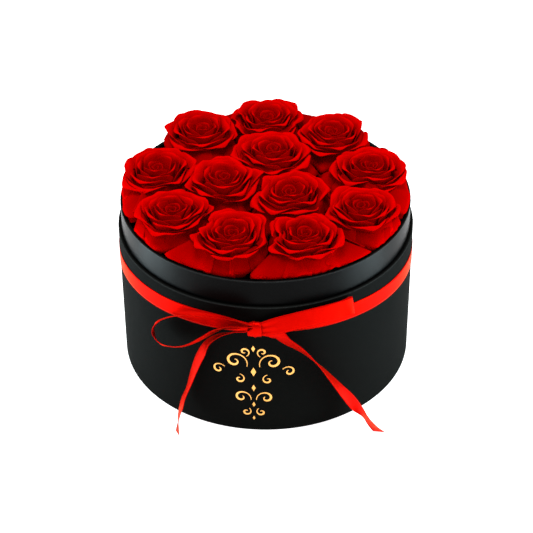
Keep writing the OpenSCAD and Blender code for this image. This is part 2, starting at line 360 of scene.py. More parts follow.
def ribbon_look():
    """UV: u runs across the ribbon from 0 to 1, v along it in metres."""
    rib_pitch = 0.0004
    look = Look("satin_ribbon")
    parts = look.node("SeparateXYZ", {"Vector": look.coords.outputs["UV"]})
    across, along = parts.outputs[0], parts.outputs[1]
    from_middle = look.math("ABSOLUTE", look.math("SUBTRACT", across, 0.5))
    selvage = look.span(from_middle, 0, 1, 0.462, 0.474)
    metres = look.node("CombineXYZ", {0: look.math("MULTIPLY", across, RIBBON_W * MM), 1: along}).outputs[0]
    rib = look.math("SINE", look.math("MULTIPLY", along, 2 * math.pi / rib_pitch))
    thread = look.noise(look.mapped((6000, 400, 1), metres), 1, 3, 0.6)
    cloud = look.noise(look.mapped((60, 160, 1), metres), 1, 2)
    shade = look.span(look.math("ADD", thread, cloud), 0, 1, 0.7, 1.3)
    tone = look.mix(shade, (0.48, 0.0012, 0.0003), (0.57, 0.002, 0.0006))
    look.plug(look.mix(selvage, tone, (0.42, 0.001, 0.0005)), "Base Color")
    dull = look.math("ADD", thread, look.math("MULTIPLY", selvage, 0.4))
    look.plug(look.span(dull, 0.3, 0.48, 0.3, 1.0), "Roughness")
    ribs = look.math("MULTIPLY", rib, look.span(selvage, 0.25, 1))
    weave = look.math("ADD", thread, look.math("MULTIPLY", selvage, 1.5))
    look.plug(look.bump(look.math("ADD", ribs, weave), 0.00003, 0.5), "Normal")
    look.set(Metallic=0.5, Specular_IOR_Level=0.01, Specular_Tint=(1, 0.5, 0.1, 1), Anisotropic=0.3,
             Sheen_Weight=0.03, Sheen_Roughness=0.35, Sheen_Tint=(1, 0.35, 0.08, 1))
    return look.material


def foil_look():
    look = Look("gold_foil")
    press = look.noise(look.mapped((1, 1, 1)), 900, 3, 0.6)
    uneven = look.noise(look.mapped((1, 1, 1)), 90, 3)
    tone = look.mix(look.span(uneven, 0, 1, 0.35, 0.7), (0.80, 0.42, 0.12), (0.70, 0.34, 0.085))
    look.plug(tone, "Base Color")
    look.plug(look.span(press, 0.28, 0.5, 0.3, 0.7), "Roughness")
    look.plug(look.bump(press, 0.00003, 0.5), "Normal")
    look.set(Metallic=1.0)
    return look.material


def petal_look():
    """UV: u runs across a petal from 0 to 1, and v from its base at 0 to its lip at 1.
    BACK_U more on the u is a petal's back, and LOW_U more is a low outer petal, which is darker; both get
    painted shade."""
    look = Look("petals")
    parts = look.node("SeparateXYZ", {"Vector": look.coords.outputs["UV"]})
    across, along = parts.outputs[0], parts.outputs[1]
    low_petal = look.span(across, 0, 1, LOW_U - 0.6, LOW_U - 0.4)
    across = look.math("SUBTRACT", across, look.math("MULTIPLY", low_petal, LOW_U))
    other_side = look.span(across, 0, 1, BACK_U - 0.8, BACK_U - 0.2)
    fan = look.node("CombineXYZ", {0: look.math("MULTIPLY", across, 26.0),
                                   1: look.math("MULTIPLY", along, 1.6)}).outputs[0]
    veins = look.noise(fan, 1.0, 4, 0.6, 0.3)
    cloud = look.noise(look.mapped((1, 1, 1)), 55, 3, 0.55)
    fine = look.noise(look.mapped((1, 1, 1)), 1400, 2, 0.6)
    # Painted shade: the face darkens towards the petal's base, deep in the bloom; the back is darker below
    # its lip, and the low outer petals are darker all over, under the bloom above them.
    face = look.reds(along, [(0.0, 0.07), (0.4, 0.34), (0.66, 0.62), (0.85, 0.55), (0.985, 0.48),
                             (1.0, 0.38)])
    back = look.reds(along, [(0.0, 0.03), (0.55, 0.18), (0.82, 0.42), (0.93, 0.5), (1.0, 0.47)])
    low = look.reds(along, [(0.0, 0.03), (0.5, 0.11), (0.68, 0.13), (0.95, 0.3), (1.0, 0.4)])
    tone = look.mix(low_petal, look.mix(other_side, face, back), low)
    patchy = look.mix(look.span(cloud, 0, 0.3, 0.35, 0.7), tone, (0.4, 0.0, 0.0))
    look.plug(look.mix(look.span(veins, 0, 0.2, 0.45, 0.75), patchy, (0.3, 0.0, 0.0)), "Base Color")
    look.plug(look.span(fine, 0.5, 0.68, 0.3, 0.7), "Roughness")
    relief = look.math("ADD", veins, look.math("MULTIPLY", fine, 0.25))
    look.plug(look.bump(relief, 0.00012, 0.5), "Normal")
    look.set(Specular_IOR_Level=0.0)
    return look.material


def green_look(name, dark, light, scale):
    look = Look(name)
    streak = look.noise(look.mapped((1, 1, 0.12)), 700, 3, 0.6)
    patch = look.noise(look.mapped((1, 1, 1)), scale, 3)
    tone = look.mix(look.math("MULTIPLY", look.math("ADD", streak, patch), 0.5), dark, light)
    spots = look.noise(look.mapped((1, 1, 0.5)), 900, 1)
    look.plug(look.mix(look.span(spots, 0, 0.6, 0.68, 0.76), tone, (0.16, 0.12, 0.05)), "Base Color")
    look.plug(look.span(patch, 0.45, 0.65, 0.3, 0.7), "Roughness")
    look.plug(look.bump(streak, 0.0001, 0.4), "Normal")
    look.set(Specular_IOR_Level=0.35)
    return look.material


# The wall and the neck have a painted highlight of a lighter colour along their top folds.
WALL = wall_paper_look("wall_paper", (0.002, 0.0021, 0.0019), (0.006, 0.0062, 0.0056), (0.82, 0.94), 0.02,
                       0.00005, (WALL_TOP, WALL_R, (0.022, 0.024, 0.023)))
UNDER = wall_paper_look("base_paper", (0.003, 0.003, 0.003), (0.009, 0.009, 0.0085), (0.7, 0.85), 0.15,
                        0.00005)
NECK = wall_paper_look("neck_paper", (0.0008, 0.0008, 0.0008), (0.002, 0.0021, 0.0021), (0.3, 0.4), 0.03,
                       0.000012, (NECK_TOP, NECK_R, (0.02, 0.022, 0.022)))
BOARD = board_look()
FOAM = foam_look()
RIBBON = ribbon_look()
FOIL = foil_look()
PETAL = petal_look()
CALYX = green_look("calyx", (0.03, 0.075, 0.012), (0.09, 0.17, 0.035), 140)
STEM = green_look("stem", (0.035, 0.08, 0.015), (0.10, 0.16, 0.04), 90)

CAD_LOOKS = {"outer_wrap": WALL, "base_cover": UNDER, "neck_wrap": NECK, "outer_tube": BOARD,
             "base_board": BOARD, "neck_tube": BOARD, "foam_block": FOAM, "foil_ornament": FOIL}
for node, look in CAD_LOOKS.items():
    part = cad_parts[node]
    part.data.materials.clear()
    part.data.materials.append(look)


def dress(obj, look, body, node):
    """Gives a new piece its material, slot and body, and hides the CAD node that it stands for."""
    obj.data.materials.append(look)
    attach(obj, body)
    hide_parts(node)


# ---- Roses ----

ROSES = [f"rose_{i:02d}" for i in range(1, 13)]


def rose_centre(rose):
    low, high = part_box(rose + "_stem")
    return np.array([(low.x + high.x) / 2, (low.y + high.y) / 2]) / MM


CENTRES = {rose: rose_centre(rose) for rose in ROSES}
RING = ROSES[:9]
# Between two ring roses and the neck is a wedge of room, which the first of each pair fills with its outer
# petal. Every second rose has the wedges on both its sides. The last has only one, because nine is odd.
WEDGE_OWNERS = {(RING[k], RING[(k + step) % 9]) for k in range(0, 9, 2) for step in (-1, 1)}
WEDGE_OWNERS.remove((RING[8], RING[0]))


def neighbour_limits(rose, ray):
    """Yields, for each neighbour, how far each ray may go. Outside the ring, the wedge of room between two
    neighbours and the neck belongs to one of them, and the other keeps to a circle there."""
    free = 99.0
    middle = CENTRES[rose]
    for other, place in CENTRES.items():
        if other == rose:
            continue
        step = place - middle
        apart = np.linalg.norm(step)
        toward = ray @ (step / apart)
        halfway = np.where(toward > 1e-3, (apart - BLOOM_GAP) / 2 / np.maximum(toward, 1e-3), free)
        if other not in RING or rose not in RING or apart > NEXT_DOOR:
            yield halfway
            continue
        outward = ray @ ((middle + place) / np.linalg.norm(middle + place)) > 0
        if (rose, other) in WEDGE_OWNERS:
            across = np.sqrt(np.maximum(apart ** 2 - (toward * apart) ** 2, 0))
            hit = toward * apart - np.sqrt(np.maximum(WEDGE_CIRCLE ** 2 - across ** 2, 0)) - BLOOM_GAP
            own = np.where((across < WEDGE_CIRCLE) & (toward > 0), hit, free)
        else:
            own = np.where(toward > 0.1, np.minimum(halfway, WEDGE_CIRCLE), free)
        yield np.where(outward, own, halfway)


def cell_reach(rose):
    """The rose's room as a reach for each degree, up to its neighbours and the neck, with rounded corners."""
    middle = CENTRES[rose]
    angles = np.radians(np.arange(360))
    ray = np.stack([np.cos(angles), np.sin(angles)], -1)
    reach = np.full(360, GUARD_REACH)
    for limit in neighbour_limits(rose, ray):
        reach = np.minimum(reach, limit)
    along = ray @ middle
    to_neck = -along + np.sqrt(along ** 2 + NECK_GRIP ** 2 - middle @ middle)
    reach = np.minimum(reach, to_neck)
    width = 7
    kernel = np.hanning(2 * width + 1)
    kernel /= kernel.sum()
    rounded = np.convolve(np.concatenate([reach[-width:], reach, reach[:width]]), kernel, "valid")
    return np.minimum(reach, rounded)


def inside_neck(x, y, z):
    """A petal that would go through the neck lies against its inside, and bends over its edge."""
    allowed = np.interp(z, [NECK_TOP + 0.4, NECK_TOP + 2.4], [NECK_INSIDE - 0.5, NECK_GRIP])
    lies = np.minimum(1, allowed / np.hypot(x, y))
    return np.stack([x * lies, y * lies, z], -1)


def petal(rng, middle, room, turn, width, far, top, base, flare, roll, fall=None, side_drop=0.2, tip=0.0,
          tilt=0.0, ripple=0.3, cols=19, thin=0.35, fold=0.0):
    """One petal as a closed skin. From its base (radius, height) it rises as a cup, flares outwards by
    flare (radius, degrees) and rolls over by roll (radius, last degrees).
    far and top are where it reaches furthest out and up. With fall (radius, depth), it slopes down from
    that radius to the edge of its room, to that depth below its top.
    turn is its direction and width half its angle. side_drop and tip shape its lip, tilt leans it sideways,
    and ripple and fold are the heights of its small and large waves."""
    u = np.linspace(-1, 1, cols)
    flare_r, flare_a = flare[0], math.radians(flare[1])
    roll_r, roll_a = roll[0], np.full(cols, math.radians(roll[1]))
    phase = rng.uniform(0, 2 * math.pi, 4)
    theta = turn + u * width
    limit = np.interp(np.mod(np.degrees(theta), 360), np.arange(361), np.append(room, room[0]))
    far = np.minimum(far(limit) if callable(far) else np.full(cols, float(far)), limit - 0.2)
    line = np.zeros(cols)
    if fall:
        out, down = np.maximum(far - fall[0], 1.5), fall[1]
        roll_a, line = np.arctan2(out, -down), np.hypot(out, down)

    # how far the flare, roll and slope take it out and up from the cup
    reach = flare_r * (1 - math.cos(flare_a)) + roll_r * (math.cos(flare_a) - np.cos(roll_a)) \
        + line * np.sin(roll_a)
    rise = flare_r * math.sin(flare_a) + roll_r * (1 - math.sin(flare_a))
    cup_r = np.maximum(far - reach, base[0] + 0.5)
    squeeze = np.minimum(1, (far - cup_r) / reach)
    cup_z = top - rise

    # rows, spread along the length of each stretch
    t = np.linspace(0, 1, 40)
    cup_steps = np.hypot(np.diff((cup_r.mean() - base[0]) * np.sin(t * math.pi / 2)),
                         np.diff((cup_z - base[1]) * (1 - np.cos(t * math.pi / 2))))
    arc = np.concatenate([[0], np.cumsum(cup_steps)])
    cup_len, flare_len, roll_len = arc[-1], flare_r * flare_a, roll_r * (roll_a - flare_a)
    marks = np.cumsum([0, cup_len, flare_len, roll_len.mean(), line.mean()])
    rows = [np.linspace(marks[0], marks[1], 6, endpoint=False),
            np.linspace(marks[1], marks[2], 5, endpoint=False),
            np.linspace(marks[2], marks[3], 6, endpoint=not fall)]
    if fall:
        rows.append(np.linspace(marks[3], marks[4], 5))
    V, U = np.meshgrid(np.concatenate(rows) / rows[-1][-1], u, indexing="ij")
    outline = 1 - side_drop * np.abs(U) ** 2.6 * (1 + 0.25 * np.sin(3 * U + phase[3])) \
        + tip * np.exp(-(U / 0.15) ** 2)

    # the profile: cup, flare, roll and slope
    s = V * (cup_len + flare_len + roll_len + line[None]) * outline
    t_cup = np.interp(np.minimum(s, cup_len), arc, t)
    a_flare = np.clip((s - cup_len) / flare_r, 0, flare_a)
    a_roll = np.clip((s - cup_len - flare_len) / roll_r, 0, roll_a - flare_a) + flare_a
    on = np.maximum(s - cup_len - flare_len - roll_len, 0)
    upper = flare_r * (1 - np.cos(a_flare)) + roll_r * (math.cos(flare_a) - np.cos(a_roll)) \
        + on * np.sin(roll_a)
    r = base[0] + (cup_r[None] - base[0]) * np.sin(t_cup * math.pi / 2) + squeeze[None] * upper
    z = base[1] + (cup_z - base[1]) * (1 - np.cos(t_cup * math.pi / 2)) + flare_r * np.sin(a_flare) \
        + roll_r * (np.sin(a_roll) - math.sin(flare_a)) + on * np.cos(roll_a)

    # waves, which grow towards the lip
    wave = np.sin(U * 3.7 + phase[0]) + 0.6 * np.sin(U * 8.1 + phase[1]) + 0.3 * np.sin(U * 15 + phase[2])
    r = r + ripple * wave * V ** 4 * 0.5 + tilt * U * np.minimum(1, 3 * V)
    z = z + ripple * wave * V ** 4 + fold * np.sin(U * 6 + phase[2]) * V ** 2
    r = r - fold * 0.6 * np.sin(U * 6 + phase[2] + 0.8) * V ** 2
    r = np.minimum(r, limit[None] - 0.15)
    grid = inside_neck(middle[0] + r * np.cos(theta), middle[1] + r * np.sin(theta), z)
    thickness = thin * (1 - 0.3 * V ** 4)
    # Painted shade: petals with a fall get LOW_U more on u, and backs get BACK_U more, and the petal material
    # paints both darker.
    uv = np.stack([(U + 1) / 2 + (LOW_U if fall else 0), V], -1)
    return thick_sheet(grid, uv, thickness, back_shift=BACK_U)


class Bloom:
    """What the petals of one rose have in common."""
    BUD, WHORLS, RIM = 5, 12, 6
    GOLDEN_ANGLE = math.radians(137.5)

    def __init__(self, index, rose):
        self.rose = rose
        self.rng = np.random.default_rng(100 + index)
        self.middle, self.room = CENTRES[rose], cell_reach(rose)
        self.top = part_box(rose + "_bloom")[1].z / MM
        self.start = self.rng.uniform(0, 2 * math.pi)
        self.hand = 1 if index % 2 else -1
        self.lean = self.rng.uniform(-2.2, 2.2, 2)

    def turn(self, k):
        """The direction of the petal numbered k from the middle."""
        return self.start + self.hand * self.GOLDEN_ANGLE * k


def bud_petals(bloom):
    """The closed middle. q goes from 0 at the first petal to 1 at the last."""
    rng = bloom.rng
    for k in range(bloom.BUD):
        q = k / (bloom.BUD - 1)
        yield petal(
            rng, bloom.middle + bloom.lean * (1 - 0.4 * q), bloom.room,
            bloom.turn(k) + rng.uniform(-0.3, 0.3), math.radians(118 - 30 * q),
            far=2.0 + 4.3 * q, top=bloom.top - 3.4 + 0.8 * q + rng.uniform(-0.9, 0.6),
            base=(0.8 + 0.4 * q, BLOOM_BASE + 16 - 4 * q), flare=(4, 6 + 14 * q), roll=(0.45, 30 + 45 * q),
            side_drop=0.12, tilt=bloom.hand * 0.8, ripple=0.2, cols=17, thin=0.34)


def whorl_petals(bloom):
    """The cups round the bud, three petals to a turn, each further out and more open."""
    rng = bloom.rng
    for k in range(bloom.WHORLS):
        q = k / (bloom.WHORLS - 1)
        share = 0.38 + 0.135 * (k // 3) + 0.036 * (k % 3) + rng.uniform(-0.012, 0.012)
        yield petal(
            rng, bloom.middle + bloom.lean * 0.35 * (1 - q), bloom.room,
            bloom.turn(bloom.BUD + k) + rng.uniform(-0.3, 0.3),
            math.radians(76 - 12 * q + rng.uniform(-8, 8)),
            far=lambda limit, w=share: w * (EVEN_REACH + (np.minimum(limit, OPEN_REACH) - EVEN_REACH) * w),
            top=bloom.top - 0.7 - 2.6 * q ** 1.8 + rng.uniform(-0.9, 0.7),
            base=(1.6 + 1.2 * q, BLOOM_BASE + 11 - 6 * q), flare=(8 + 2 * q, 15 + 31 * q),
            roll=(0.6 + 0.5 * q, 88 + 45 * q + rng.uniform(-20, 20)),
            side_drop=0.15 + rng.uniform(-0.04, 0.06), tip=0.015 + 0.02 * q, tilt=bloom.hand * 0.5,
            ripple=0.3 + 0.4 * q, cols=25, thin=0.34)


def rim_petals(bloom):
    """The open petals round the outside, with rolled lips."""
    rng = bloom.rng
    for k in range(bloom.RIM):
        q = k / (bloom.RIM - 1)
        yield petal(
            rng, bloom.middle, bloom.room,
            bloom.turn(bloom.BUD + bloom.WHORLS + k) + rng.uniform(-0.2, 0.2),
            math.radians(58 + rng.uniform(-8, 8)),
            far=lambda limit, w=q: np.minimum(limit, OPEN_REACH) * (0.9 + 0.08 * w),
            top=bloom.top - 4.2 - 3.2 * q + rng.uniform(-1.4, 1.0), base=(3.0, BLOOM_BASE + 4.5 - 2 * q),
            flare=(10, 50), roll=(1.2 + 1.0 * q, 125 + rng.uniform(-25, 30)),
            side_drop=0.18 + rng.uniform(-0.06, 0.05), tip=0.045, tilt=bloom.hand * 0.2, ripple=0.8, cols=29,
            thin=0.36)


def guard_turns(rose):
    """Directions of the low outer petals, in degrees from the way out of the box, for each of their layers.
    In the ring, the first two point into the wedges of room on both sides."""
    if rose not in RING:
        return ((0, 72, 144, 216, 288),)
    owner = any(rose == first for first, _ in WEDGE_OWNERS)
    wedge = 58 if owner else 44
    return (-wedge, wedge, 118, 180, -118), (0, 30 + wedge, -30 - wedge, 150, -150)


def guard_petals(bloom):
    """The low outer petals, which slope down and fill the rose's room. At the back of the box, those that
    face out end higher, and hide the neck's edge."""
    rng = bloom.rng
    x, y = bloom.middle
    outer_way = math.atan2(y, x)
    for layer, turns in enumerate(guard_turns(bloom.rose)):
        for k, turn in enumerate(turns):
            facing = outer_way + math.radians(turn + rng.uniform(-4, 4))
            outward = math.cos(facing - outer_way) * np.linalg.norm(bloom.middle) / 80
            rear = min(1, max(0, (y + 15) / 50)) * max(0, outward)
            top = bloom.top - 7.0 - 3.5 * layer - 1.5 * (k % 2) + rng.uniform(-1.0, 0.8)
            end = NECK_TOP + 1.9 + 4.5 * rear + rng.uniform(-0.5, 0.8) - 2.5 * layer
            if layer == 0 and k < 2:
                end += 1.2 * min(1, 2 * rear)
            yield petal(
                rng, bloom.middle, bloom.room, facing, math.radians(45 + rng.uniform(-3, 6)),
                far=lambda limit: limit, top=top, base=(3.3, BLOOM_BASE + 1.5), flare=(7, 48),
                roll=(1.6, 120), fall=(21.5 + 1.5 * layer, top - end),
                side_drop=0.06 + rng.uniform(-0.03, 0.03), tip=0.03, tilt=bloom.hand * 0.5, ripple=0.6,
                cols=37, thin=0.36, fold=rng.uniform(0.7, 1.3))


def make_bloom(index, rose):
    bloom = Bloom(index, rose)
    kinds = (bud_petals, whorl_petals, rim_petals, guard_petals)
    points, faces, uv = joined([skin for kind in kinds for skin in kind(bloom)])
    obj = add_mesh(rose + "_petals", points, faces, uv)
    dress(obj, PETAL, rose, rose + "_bloom")


def sepal(middle, turn, index):
    """One pointed sepal that droops away from the calyx. index gives each of them its own bend."""
    rows, cols = 12, 7
    t = np.linspace(0, 1, rows)[:, None] * np.ones(cols)
    w = np.linspace(-1, 1, cols)[None] * np.ones((rows, 1))
    out = 4.6 + 11 * t
    half = 2.9 * np.sin(math.pi * np.clip(0.18 + 0.8 * t, 0, 1)) ** 0.8 + 0.1
    droop = BLOOM_BASE - 0.8 - 3.2 * t ** 1.6 + 0.5 * np.sin(6 * t + index) * t
    side = w * half
    x = out * math.cos(turn) - side * math.sin(turn)
    y = out * math.sin(turn) + side * math.cos(turn)
    z = droop + 0.35 * w ** 2 + 0.15 * np.sin(9 * t + 4 * w)
    grid = np.stack([middle[0] + x, middle[1] + y, z], -1)
    return thick_sheet(grid, np.stack([(w + 1) / 2, t], -1), 0.35)


def upright(middle, heights):
    """Points above each other at these heights, on the rose's own axis."""
    return np.stack([np.full(len(heights), middle[0]), np.full(len(heights), middle[1]), heights], 1)


def make_calyx(index, rose):
    rng = np.random.default_rng(300 + index)
    middle = CENTRES[rose]
    heights = CALYX_BASE + np.array([0, 0.6, 1.6, 2.9, 4.2, 5.4, 6.4, 7.0])
    radii = np.array([2.7, 3.9, 5.0, 5.7, 6.0, 5.7, 5.0, 3.8])
    parts = [tube_skin(upright(middle, heights), radii, 20)]
    for k in range(5):
        parts.append(sepal(middle, 2 * math.pi * k / 5 + rng.uniform(-0.15, 0.15), k))
    points, faces, uv = joined(parts)
    obj = add_mesh(rose + "_sepals", points, faces, uv)
    dress(obj, CALYX, rose, rose + "_calyx")


def make_stem(index, rose):
    rng = np.random.default_rng(500 + index)
    low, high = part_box(rose + "_stem")
    middle = CENTRES[rose]
    sides, rows = 16, 26
    angle = np.linspace(0, 2 * math.pi, sides, endpoint=False)
    t = np.linspace(0, 1, rows)
    phase = rng.uniform(0, 2 * math.pi)
    knuckle = np.exp(-((t - rng.uniform(0.35, 0.6)) / 0.04) ** 2)
    taper = STEM_R * (0.93 - 0.05 * (1 - t) + 0.05 * knuckle)
    radii = taper[:, None] * (1 + 0.015 * np.sin(5 * angle + phase)[None])
    heights = low.z / MM + t * (high.z - low.z) / MM
    points, faces, uv = tube_skin(upright(middle, heights), radii, sides)
    # the foot is cut on a slant
    above = (points[:, 2] - heights[0]) / (heights[-1] - heights[0])
    cut = np.clip((t[1] - above) / t[1], 0, 1)
    points[:, 2] += cut * (1.2 + 1.1 * (points[:, 0] - middle[0]) / STEM_R)
    obj = add_mesh(rose + "_stalk", points, faces, uv)
    dress(obj, STEM, rose, rose + "_stem")


for index, rose in enumerate(ROSES):
    make_bloom(index, rose)
    make_calyx(index, rose)
    make_stem(index, rose)


# ---- Ribbon ----

# Each route's stations are the same as in the CAD source:
# degrees from the front, height, distance from the wall, and the width's direction (right, up, out).
# Only 12 of the 55 were typed in: 8 of the right loop's, and the first 4 of the right tail's. A
# search program settled the right loop's other 5, round its far bend. Another program worked out the rest,
# from points picked along the ribbon in the photo and guessed distances from the wall.
ROUTES = {
    "bow_loop_right": [
        [3.8, 95.6, 4.8, [0, 1, -0.15]], [9.9, 99, 5.6, [0, 0.97, -0.25]],
        [18.5, 101.7, 5.4, [0, 0.97, -0.25]], [27, 102.3, 5.1, [0, 0.97, -0.25]],
        [33.6, 101.6, 4.7, [0, 0.96, -0.26]], [36.6, 101.2, 4.5, [0, 0.95, -0.3]],
        [37.7, 100.9, 3.6, [0, 0.95, -0.28]], [36.6, 100.6, 2.6, [0, 0.96, -0.26]],
        [33.6, 100.4, 2.6, [0, 0.98, -0.16]], [26, 99.2, 1.9, [0, 1, -0.06]],
        [16.8, 97.1, 1.9, [0, 1, 0]], [8.5, 94.8, 1.9, [0, 1, 0]],
        [3.8, 93.5, 1.9, [0, 1, 0]]],
    "bow_loop_left": [
        [-1.7, 99.5, 6.2, [0.29, 0.63, 0.72]], [-4.7, 102, 6.6, [0.18, 0.64, 0.75]],
        [-10.2, 103.2, 7.4, [0.06, 0.64, 0.77]], [-16.2, 102.4, 8, [-0.05, 0.61, 0.79]],
        [-22.5, 99.7, 8.6, [-0.14, 0.54, 0.83]], [-28.9, 94.3, 9.2, [-0.15, 0.38, 0.91]],
        [-33.9, 86.5, 10.2, [0.06, 0.12, 0.99]], [-36.5, 77.5, 11.8, [0.61, 0.13, 0.78]],
        [-34.6, 71.8, 13.6, [0.26, 0.81, 0.53]], [-30.2, 71.8, 14.4, [-0.12, 0.67, 0.73]],
        [-25, 75, 14, [-0.14, 0.53, 0.83]], [-20.4, 80.3, 12.4, [-0.14, 0.46, 0.88]],
        [-16, 87.5, 10.4, [-0.19, 0.47, 0.86]], [-11.9, 93.8, 8.6, [-0.16, 0.57, 0.8]],
        [-7.5, 96.7, 7.2, [-0.01, 0.65, 0.76]], [-1.7, 97.3, 6.2, [-0.01, 0.63, 0.78]]],
    "ribbon_tail_left": [
        [-1.7, 94.3, 6.6, [-0.09, 0.54, 0.84]], [-5.5, 93.2, 6.8, [-0.12, 0.53, 0.84]],
        [-9.7, 89.7, 7.2, [-0.21, 0.36, 0.91]], [-13.8, 83.5, 7, [-0.07, 0.02, 1]],
        [-17.2, 73.3, 6.4, [0.38, -0.24, 0.89]], [-20.3, 59.9, 6, [0.54, -0.21, 0.81]],
        [-22.8, 44.9, 6.4, [0.54, -0.13, 0.83]], [-25.1, 29.2, 7.4, [0.47, -0.01, 0.88]],
        [-26.2, 19.7, 9.6, [0.63, 0.22, 0.75]], [-26, 15, 13, [0.58, 0.66, 0.48]],
        [-25.2, 12.1, 17.6, [0.4, 0.83, 0.39]], [-24.4, 9.2, 21.6, [0.24, 0.85, 0.47]],
        [-23.6, 6.6, 25.5, [0.13, 0.85, 0.51]]],
    "ribbon_tail_right": [
        [4.6, 92.8, 3.3, [0, 1, 0]], [6.9, 92.2, 3.4, [0, 1, 0.05]],
        [9.2, 89.4, 3.5, [0.1, 0.96, 0.2]], [11.6, 84.9, 5.1, [0.33, 0.7, 0.58]],
        [15.5, 79.3, 7.5, [0.5, 0.4, 0.77]], [20.5, 67.6, 7.1, [0.28, 0.19, 0.94]],
        [25.9, 52.3, 6.9, [-0.06, -0.04, 1]], [31.9, 33.4, 7.2, [-0.4, -0.17, 0.9]],
        [36.3, 19.6, 9.4, [-0.64, -0.18, 0.75]], [38.4, 12.9, 13, [-0.7, 0.2, 0.69]],
        [39.1, 8.9, 18.2, [-0.67, 0.59, 0.45]], [39.3, 6.3, 24.6, [-0.75, 0.65, 0.14]],
        [39.3, 6.2, 33.2, [-0.85, 0.52, 0]]],
}


def wall_point(degrees, z, out):
    a = math.radians(degrees)
    return [(WALL_R + out) * math.sin(a), -(WALL_R + out) * math.cos(a), z]


def wall_dir(degrees, way):
    a = math.radians(degrees)
    right, up, out = way
    return [right * math.cos(a) + out * math.sin(a), right * math.sin(a) - out * math.cos(a), up]


def smooth_path(stations, steps):
    """Catmull-Rom through the stations."""
    p = np.asarray(stations, float)
    n = len(p)
    rows = []
    for i in range(n - 1):
        a, b, c, d = p[max(i - 1, 0)], p[i], p[i + 1], p[min(i + 2, n - 1)]
        for s in range(steps):
            t = s / steps
            rows.append(0.5 * (2 * b + (c - a) * t + (2 * a - 5 * b + 4 * c - d) * t ** 2
                               + (3 * b - a - 3 * c + d) * t ** 3))
    return np.array(rows + [p[-1]])


# How far each strip narrows where it goes into the knot, as a share of its width.
PINCHES = {"bow_loop_right": 0.24, "bow_loop_left": 0.45, "ribbon_tail_left": 0.4, "ribbon_tail_right": 0.35}


def in_knot(near):
    """The middle of a strip inside the knot, on the side of its station near."""
    side = 1 if near[0] > KNOT_X else -1
    return [KNOT_X + side * 2.2, -WALL_R - KNOT_OUT, (near[2] + KNOT_Z) / 2]


def ribbon_grid(route, loop, pinch):
    """The strip along a route, from inside the knot, where it narrows by pinch. A loop also ends there."""
    steps, cols = 12, 13
    gather_length, crown, pleat = 9.5, 0.06, 0.3
    stations = [wall_point(s[0], s[1], s[2]) for s in route]
    ways = [wall_dir(s[0], s[3]) for s in route]
    stations.insert(0, in_knot(stations[0]))
    ways.insert(0, ways[0])
    if loop:
        stations.append(in_knot(stations[-1]))
        ways.append(ways[-1])
    points = smooth_path(stations, steps)
    widths = smooth_path(ways, steps)
    along = np.gradient(points, axis=0)
    along /= np.linalg.norm(along, axis=1, keepdims=True)
    across = widths - along * np.sum(widths * along, axis=1, keepdims=True)
    across /= np.linalg.norm(across, axis=1, keepdims=True)
    normal = np.cross(along, across)
    run = np.concatenate([[0], np.cumsum(np.linalg.norm(np.diff(points, axis=0), axis=1))])
    gather = np.exp(-(run / gather_length) ** 2)
    if loop:
        gather = np.maximum(gather, np.exp(-((run[-1] - run) / gather_length) ** 2))
    w = np.linspace(-1, 1, cols)
    half = (1 - pinch * gather[:, None]) * w[None] * RIBBON_W / 2
    swell = crown * (1 - w ** 2)[None] + pleat * gather[:, None] * np.cos(w * 2.5 * math.pi + 0.7)[None]
    grid = points[:, None] + across[:, None] * half[..., None] + normal[:, None] * swell[..., None]
    uv = np.stack([np.broadcast_to((w + 1) / 2, (len(points), cols)),
                   np.broadcast_to(run[:, None] * MM, (len(points), cols))], -1)
    return grid, uv, run[-1]


def make_strips():
    for name, route in ROUTES.items():
        grid, uv, length = ribbon_grid(route, "loop" in name, PINCHES[name])
        points, faces, uv = thick_sheet(grid, uv, RIBBON_T)
        strip = add_mesh(name + "_satin", points, faces, uv)
        dress(strip, RIBBON, "box", name)
        "folded" if "loop" in name else "hung"


def make_knot():
    """The ribbon goes once round the middle, gathered into pleats."""
    rows, cols = 48, 25
    half_x, half_z, half_out = 4.6, 5.8, 3.0
    squareness = 0.85
    a = np.linspace(0, 2 * math.pi, rows, endpoint=False)[:, None]
    w = np.linspace(-1, 1, cols)[None]
    up = np.sign(np.sin(a)) * np.abs(np.sin(a)) ** squareness
    out = np.sign(np.cos(a)) * np.abs(np.cos(a)) ** squareness
    pleat = (0.16 * np.cos(w * 2.2 * math.pi + 0.6 + 0.9 * np.sin(a))
             + 0.07 * np.cos(w * 4.3 * math.pi + 1.1 + 0.8 * np.sin(a)))
    round_off = 1 - 0.2 * np.abs(w) ** 2.5
    x = KNOT_X + half_x * w * (1 - 0.07 * up + 0.03 * np.cos(2 * a))
    z = KNOT_Z + (half_z * round_off + pleat) * up
    y = -WALL_R - (KNOT_OUT + (half_out * round_off + pleat * 0.8) * out)
    grid = np.stack(np.broadcast_arrays(x, y, z), -1)
    turn = np.broadcast_to(a / (2 * math.pi) * 0.03, (rows, cols))
    uv = np.stack([np.broadcast_to((w + 1) / 2, (rows, cols)), turn], -1)
    points, faces, uv = thick_sheet(grid, uv, RIBBON_T, wrap=True)
    obj = add_mesh("bow_knot_wrap", points, faces, uv)
    dress(obj, RIBBON, "box", "bow_knot")


